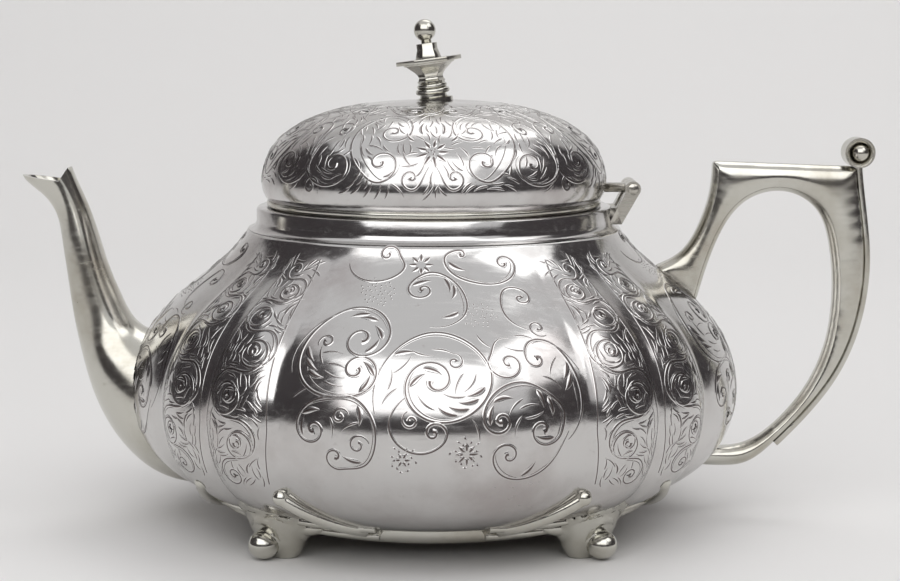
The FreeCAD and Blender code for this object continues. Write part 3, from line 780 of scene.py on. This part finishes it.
right_sweep = (((29, 21.5), 3.5, 160, 330), ((27.5, 26.5), (33, 27), (38.5, 20.5), (40.5, 12), (39.5, 4.5),
               (35.5, -1.5)), None, -1)
lower_right_scroll = (((18, 5), 4.5, 180, 470), ((14.5, 9.5), (18.5, 13.5), (25, 15), (31.5, 12), (36, 7)),
                      ((29.5, 2), 6, 0, 430), -1)
low_right_curl = (((20, -4.5), 4, 170, 440), ((17.5, -9), (23, -11.5), (30, -9.5), (35, -3.5), (37.5, 1)), None, 1)
upper_curl = (((-2.5, 45.5), 4, 180, 430), ((-4, 50), (0, 51.5), (5, 49.5), (8.5, 43.5), (8, 36.5), (4, 32.5),
              (-0.5, 32)), None, -1)
upper_right_curl = (((24.5, 42), 3.5, 80, 430), ((21, 45.5), (18.5, 41), (19, 35), (24.5, 30.5)), None, 1)
top_right_scroll = (((8, 57), 1.5, 110, 420), ((3.5, 56.5), (5, 51.5), (10.5, 48), (17, 47.5)),
                    ((19.5, 54), 3.5, -30, 420), 1)
top_left_curl = (None, ((-23, 54), (-20, 50), (-11.5, 49), (-7.5, 54)), ((-12.5, 57), 3.5, 0, 430), 1)
small_curls = (((-24, 5.5), 2.5, 20, 1), ((-19, -2), 3, 20, 1), ((-5, 5.5), 2.5, 120, 1), ((29, 31.5), 3, -60, -1),
               ((-28, 26.5), 2.5, 200, -1), ((5.5, 21), 2.5, 80, -1))
front_panel = []
stems = []
for motif in (great_scroll, left_scroll, lower_left_scroll, hanging_scroll, right_bud, right_sweep,
              lower_right_scroll, low_right_curl, upper_curl, upper_right_curl, top_right_scroll, top_left_curl):
    strokes = running(*motif)
    stems.append((strokes[0], motif[3]))
    front_panel += strokes
front_panel += [scroll(eye, size, aim, 430.0, 0.25 * size, hand, 0.9) for eye, size, aim, hand in small_curls]
front_panel += rosette((-3, 54), 3.4, 8) + rosette((9, -3.5), 3.0, 8) + rosette((-7.5, -5), 2.0, 6)
front_panel += dots((9, -3.5), 4.4, 20, 1.25) + dots((-7.5, -5), 3.8, 17, 1.2)
front_panel += dots((-14.5, 44.5), 5.0, 46, 0.5) + dots((12.5, 36), 4.6, 36, 0.5)
for stem, hand in stems:
    if len(stem) > least_stem:
        front_panel += sprigs(stem, hand, front_panel)
front_panel += fillers(front_panel, lambda y: 36.0 - 0.12 * max(-y, 0.0), low=3.0, high=29.0, gap=2.7,
                       most=2.6, seed=5)

side_lobe = []
climb = ((-14.0, 4.4), (-4.2, 6.0), (8.6, 7.0), (21.8, 6.6), (33.4, 5.6), (43.0, 4.5), (50.8, 3.4))
for i, ((low, size), (rise, more)) in enumerate(zip(climb, climb[1:])):
    hand = 1 if i % 2 else -1
    side_lobe += running(((hand * 0.3 * size, low), size, 90.0 - hand * 70.0, 560.0),
                         ((hand * 0.75 * size, low + size), (-hand * 0.4 * size, (low + rise) / 2 + 0.5)),
                         ((-hand * 0.3 * more, rise), 0.8 * more, 90.0 + hand * 120.0, 480.0), hand, -1, 0.9)
    side_lobe.append(leaf((-hand * 0.9 * size, low + 0.2 * size), 0.9 * size, 90.0 - hand * 10.0, hand * 70.0, 1.0))


def lobe_half(y):
    return 10.2 - 0.055 * max(y, 0.0) - 0.09 * max(-y, 0.0)


for hand in (-1, 1):
    side_lobe.append([(hand * lobe_half(y), y, 0.7) for y in np.arange(-17.0, 55.0, 1.1)])
side_lobe += fillers(side_lobe, lobe_half, low=-16.0, high=55.0, gap=1.15, most=2.8, seed=4)

lid_panel = rosette((0.0, 13.0), 4.8, 9) + dots((0.0, 13.0), 1.2, 5, 1.0)
for hand in (-1, 1):
    for motif in ((((hand * 11.6, 21.0), 5.6, 90.0 + hand * 80.0, 500.0),
                   ((hand * 8.0, 27.6), (hand * 14.6, 30.4), (hand * 21.6, 25.0), (hand * 22.4, 15.0),
                    (hand * 17.4, 6.6)),
                   ((hand * 13.0, 9.6), 5.6, 270.0, 480.0), -hand, 1, 0.85),
                  (((hand * 30.4, 21.0), 5.0, 90.0 - hand * 80.0, 480.0),
                   ((hand * 36.0, 15.0), (hand * 36.4, 7.0), (hand * 30.0, 2.6)),
                   ((hand * 27.6, 8.6), 5.8, 270.0, 470.0), -hand, 1, 0.85),
                  (((hand * 5.6, 35.0), 4.2, 270.0, 440.0), ((hand * 11.0, 34.0), (hand * 14.6, 38.0)),
                   None, hand, 1, 0.8),
                  (((hand * 5.8, 5.4), 3.4, 270.0, 440.0), ((hand * 2.2, 6.2), (hand * 1.0, 8.4)),
                   None, -hand, 1, 0.8),
                  (((hand * 21.6, 34.0), 4.4, 90.0, 440.0), ((hand * 26.4, 31.0), (hand * 28.6, 27.0)),
                   None, -hand, 1, 0.8)):
        lid_panel += running(*motif)
    lid_panel += [leaf((hand * 2.6, 20.0), 6.4, 90.0 - hand * 20.0, hand * 50.0, 1.2),
                  leaf((hand * 4.8, 17.0), 4.6, 90.0 - hand * 60.0, hand * 60.0, 1.1)]
lid_panel += fillers(lid_panel, lambda y: 38.5 - 0.012 * y * y, low=2.0, high=42.0, gap=1.5, most=3.4,
                     seed=11)

groove_width = 1.15
groove_lip = 0.15
groove_half = [(-0.5, -0.35), (-0.27, 0.95), (0.0, 0.12), (0.27, 0.95), (0.5, -0.35)]
struck = bpy.data.materials.new("struck line")
struck.use_nodes = True
tree = struck.node_tree
shader = tree.nodes["Principled BSDF"]
shader.inputs["Metallic"].default_value = 1.0
skin = add(tree, "ShaderNodeGroup", node_tree=wear)
for socket, value in zip(skin.inputs, ((0.68, 0.67, 0.66, 1.0), (0.40, 0.35, 0.33, 1.0), 0.3, 0.16, 0.08)):
    socket.default_value = value
across = add(tree, "ShaderNodeAttribute", attribute_name="across").outputs["Fac"]
middle = calc(tree, "ABSOLUTE", calc(tree, "SUBTRACT", across, 0.5))
lip = ramp(tree, middle, 0.05, 0.27)
feed(tree, shader.inputs["Base Color"], blend_colour(tree, lip, (0.12, 0.095, 0.09, 1.0), skin.outputs["Color"]))
feed(tree, shader.inputs["Roughness"], calc(tree, "MULTIPLY_ADD", calc(tree, "SUBTRACT", 1.0, lip), 0.22,
                                            skin.outputs["Roughness"]))

tree, given, result = tree_of("struck lines", ("Meridian", THING), ("Surface", THING), ("Groove", THING),
                              ("Copies", COUNT), ("First Turn", FLOAT), ("Material", STUFF))


def from_object(label):
    node = add(tree, "GeometryNodeObjectInfo")
    feed(tree, node.inputs["Object"], given[label])
    return node.outputs["Geometry"]


where = add(tree, "ShaderNodeSeparateXYZ")
feed(tree, where.inputs[0], add(tree, "GeometryNodeInputPosition").outputs[0])
along = add(tree, "GeometryNodeSampleCurve", mode="LENGTH", use_all_curves=True)
feed(tree, along.inputs["Curves"], from_object("Meridian"))
feed(tree, along.inputs["Length"], where.outputs["Y"])
slope = add(tree, "ShaderNodeSeparateXYZ")
feed(tree, slope.inputs[0], along.outputs["Tangent"])
lean = add(tree, "ShaderNodeCombineXYZ")
feed(tree, lean.inputs["X"], slope.outputs["Z"])
feed(tree, lean.inputs["Z"], calc(tree, "MULTIPLY", slope.outputs["X"], -1.0))


def swung(vector):
    node = add(tree, "ShaderNodeVectorRotate", rotation_type="Z_AXIS")
    feed(tree, node.inputs["Vector"], vector)
    feed(tree, node.inputs["Angle"], calc(tree, "ADD", where.outputs["X"], given["First Turn"]))
    return node.outputs[0]


def scaled(vector, amount):
    node = add(tree, "ShaderNodeVectorMath", operation="SCALE")
    feed(tree, node.inputs[0], vector)
    feed(tree, node.inputs["Scale"], amount)
    return node.outputs[0]


normal = swung(lean.outputs[0])
above = add(tree, "ShaderNodeVectorMath", operation="ADD")
feed(tree, above.inputs[0], swung(along.outputs["Position"]))
feed(tree, above.inputs[1], scaled(normal, 4.0 * MM))
ray = add(tree, "GeometryNodeRaycast")
feed(tree, ray.inputs["Target Geometry"], from_object("Surface"))
feed(tree, ray.inputs["Source Position"], above.outputs[0])
feed(tree, ray.inputs["Ray Direction"], scaled(normal, -1.0))
feed(tree, ray.inputs["Ray Length"], 20.0 * MM)
keep = add(tree, "GeometryNodeCaptureAttribute", domain="POINT")
keep.capture_items.new("VECTOR", "Seat")
keep.capture_items.new("VECTOR", "Normal")
feed(tree, keep.inputs["Geometry"], given["Geometry"])
feed(tree, keep.inputs["Seat"], ray.outputs["Hit Position"])
feed(tree, keep.inputs["Normal"], ray.outputs["Hit Normal"])
seat = add(tree, "GeometryNodeSetPosition")
feed(tree, seat.inputs["Geometry"], keep.outputs["Geometry"])
feed(tree, seat.inputs["Position"], keep.outputs["Seat"])
face_out = add(tree, "GeometryNodeSetCurveNormal")
face_out.mode = "FREE"
feed(tree, face_out.inputs["Curve"], seat.outputs["Geometry"])
feed(tree, face_out.inputs["Normal"], keep.outputs["Normal"])
mark = add(tree, "GeometryNodeCaptureAttribute", domain="POINT")
mark.capture_items.new("FLOAT", "Across")
feed(tree, mark.inputs["Geometry"], from_object("Groove"))
feed(tree, mark.inputs["Across"], add(tree, "GeometryNodeSplineParameter").outputs["Factor"])
strip = add(tree, "GeometryNodeCurveToMesh")
feed(tree, strip.inputs["Curve"], face_out.outputs["Curve"])
feed(tree, strip.inputs["Profile Curve"], mark.outputs["Geometry"])
if "Scale" in strip.inputs:
    feed(tree, strip.inputs["Scale"], add(tree, "GeometryNodeInputRadius").outputs[0])
name_it = add(tree, "GeometryNodeStoreNamedAttribute", data_type="FLOAT", domain="POINT")
feed(tree, name_it.inputs["Geometry"], strip.outputs["Mesh"])
feed(tree, name_it.inputs["Name"], "across")
feed(tree, name_it.inputs["Value"], mark.outputs["Across"])
spots = add(tree, "GeometryNodeMeshLine")
feed(tree, spots.inputs["Count"], given["Copies"])
feed(tree, spots.inputs["Offset"], (0.0, 0.0, 0.0))
round_axis = add(tree, "ShaderNodeCombineXYZ")
step = calc(tree, "DIVIDE", 2 * math.pi, given["Copies"])
feed(tree, round_axis.inputs["Z"], calc(tree, "MULTIPLY", add(tree, "GeometryNodeInputIndex").outputs[0], step))
copies = add(tree, "GeometryNodeInstanceOnPoints")
feed(tree, copies.inputs["Points"], spots.outputs["Mesh"])
feed(tree, copies.inputs["Instance"], name_it.outputs["Geometry"])
feed(tree, copies.inputs["Rotation"], round_axis.outputs[0])
dressed(tree, copies.outputs["Instances"], given["Material"], result)

groove = line_object("groove section", [(x * groove_width * MM, 0.0) for x, y in groove_half])
for point, (x, y) in zip(groove.data.splines[0].points, groove_half):
    point.co = (y * groove_lip * MM, x * groove_width * MM, 0.0, 1.0)
bowl_meridian = line_object("bowl meridian", crest)
dome_meridian = line_object("dome meridian", [(r * MM, z * MM) for r, z in dome_outside[:-1]])
bpy.context.scene.collection.objects.link(bare_dome)


def meridian_radius(line, length):
    done = 0.0
    for (r, z), (s, w) in zip(line, line[1:]):
        step = math.hypot(s - r, w - z)
        if done + step >= length:
            return r + (s - r) * (length - done) / step
        done += step
    return line[-1][0]


def struck_piece(name, strokes, line, meridian, surface, start, copies, first_turn, body):
    data = bpy.data.curves.new(name, "CURVE")
    data.dimensions = "3D"
    for stroke in strokes:
        middle = sum(p[1] for p in stroke) / len(stroke)
        reach = meridian_radius(line, (start + middle) * MM) / MM
        spline = data.splines.new("POLY")
        spline.points.add(len(stroke) - 1)
        for point, (x, y, swell) in zip(spline.points, stroke):
            point.co = (x / reach, (start + y) * MM, 0.0, 1.0)
            point.radius = swell
    drawn = bpy.data.objects.new(name + " strokes", data)
    bpy.context.scene.collection.objects.link(drawn)
    piece = finished(drawn, tree, name, Meridian=meridian, Surface=surface, Groove=groove, Copies=copies,
                     Material=struck, **{"First Turn": math.radians(first_turn)})
    bpy.data.objects.remove(drawn)
    piece.data.transform(hub)
    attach(piece, body)
    return piece


belly_length = float(crest_at[belly_station])
quarters = 4
front_turn = 270.0
lobe_turn = 37.0
lid_first_line = 5.0
mirrored_lobe = [[(-x, y, w) for x, y, w in stroke] for stroke in side_lobe]
dome_line = [(r * MM, z * MM) for r, z in dome_outside[:-1]]
for name, strokes, turn in (("wide_panel_ornament", front_panel, front_turn),
                            ("left_lobe_ornament", side_lobe, front_turn - lobe_turn),
                            ("right_lobe_ornament", mirrored_lobe, front_turn + lobe_turn)):
    struck_piece(name, strokes, crest, bowl_meridian, bare_bowl, belly_length, quarters, turn, "pot")
struck_piece("lid_ornament", lid_panel, dome_line, dome_meridian, bare_dome, lid_first_line, quarters,
             front_turn, "lid")
for spare in (groove, bowl_meridian, dome_meridian, bare_bowl, bare_dome, bowl_line):
    bpy.data.objects.remove(spare)


# Stage: a pale sweep of paper, three soft lamps, and a dark card round the front and sides that
# gives bright metal its dark tones. The metal sees all of it. The camera has the photograph's
# viewing angle and looks past the card, which would stand in its way from the sides.
def stage_mesh(name, build, finish):
    mesh = bpy.data.meshes.new(name)
    made = bmesh.new()
    build(made)
    made.to_mesh(mesh)
    made.free()
    mesh.materials.append(finish)
    thing = bpy.data.objects.new(name, mesh)
    bpy.context.scene.collection.objects.link(thing)
    return thing


def paper(name, colour):
    finish = bpy.data.materials.new(name)
    finish.use_nodes = True
    shader = finish.node_tree.nodes["Principled BSDF"]
    shader.inputs["Base Color"].default_value = (*colour, 1.0)
    shader.inputs["Roughness"].default_value = 0.9
    return finish


floor_half_width = 3.0
sweep_start = 0.7
sweep_radius = 0.8


def sweep(made):
    section = [(-3.0, 0.0), (sweep_start, 0.0)]
    for i in range(1, 25):
        turn = math.pi / 2 * i / 24
        section.append((sweep_start + sweep_radius * math.sin(turn), sweep_radius * (1 - math.cos(turn))))
    section.append((sweep_start + sweep_radius, 3.0))
    sides = [[made.verts.new((x, y, z)) for y, z in section] for x in (-floor_half_width, floor_half_width)]
    for k in range(len(section) - 1):
        face = made.faces.new((sides[0][k], sides[1][k], sides[1][k + 1], sides[0][k + 1]))
        face.smooth = True


stage_mesh("floor", sweep, paper("pale floor", (0.80, 0.79, 0.78)))

card_radius = 2.2
card_front_height = 0.65
card_side_height = 2.55
card_rise_turn = (44.0, 58.0)
card_end_turn = 130.0
card_steps = 96


def card(made):
    feet, tops = [], []
    for i in range(card_steps + 1):
        turn = card_end_turn * (2 * i / card_steps - 1)
        share = min(max((abs(turn) - card_rise_turn[0]) / (card_rise_turn[1] - card_rise_turn[0]), 0.0), 1.0)
        height = card_front_height + share * (card_side_height - card_front_height)
        x, y = card_radius * math.sin(math.radians(turn)), -card_radius * math.cos(math.radians(turn))
        feet.append(made.verts.new((x, y, 0.0)))
        tops.append(made.verts.new((x, y, height)))
    for k in range(card_steps):
        made.faces.new((feet[k], feet[k + 1], tops[k + 1], tops[k]))


dark_card = stage_mesh("dark_card", card, paper("dark card", (0.07, 0.062, 0.066)))
dark_card.visible_camera = False

for name, spot, width, height, power in (("window lamp", (-0.4, -1.9, 1.75), 3.4, 2.2, 30.0),
                                         ("fill lamp", (1.5, -0.6, 1.9), 1.4, 1.4, 9.0),
                                         ("back lamp", (0.3, 1.2, 1.9), 1.4, 1.4, 9.0)):
    data = bpy.data.lights.new(name, "AREA")
    data.shape = "RECTANGLE"
    data.size = width
    data.size_y = height
    data.energy = power
    lamp = bpy.data.objects.new(name, data)
    bpy.context.scene.collection.objects.link(lamp)
    lamp.location = spot
    lamp.rotation_euler = (Vector((0.0, 0.0, 0.05)) - Vector(spot)).to_track_quat("-Z", "Y").to_euler()
    lamp.visible_camera = False
world = bpy.data.worlds.new("studio")
world.use_nodes = True
world.node_tree.nodes["Background"].inputs["Color"].default_value = (0.93, 0.93, 0.94, 1.0)
world.node_tree.nodes["Background"].inputs["Strength"].default_value = 0.82
bpy.context.scene.world = world
bpy.context.scene.view_settings.view_transform = "Standard"

photo_width = 900
focal_pixels = 2045.0
camera_place = (0.66 * MM, -600.0 * MM, 146.0 * MM)
camera_dip = 7.45
lens = bpy.data.cameras.new("camera")
lens.sensor_width = 36.0
lens.lens = focal_pixels / photo_width * lens.sensor_width
lens.clip_start = 0.01
camera = bpy.data.objects.new("camera", lens)
bpy.context.scene.collection.objects.link(camera)
camera.location = camera_place
camera.rotation_euler = (math.radians(90.0 - camera_dip), 0.0, 0.0)
bpy.context.scene.camera = camera
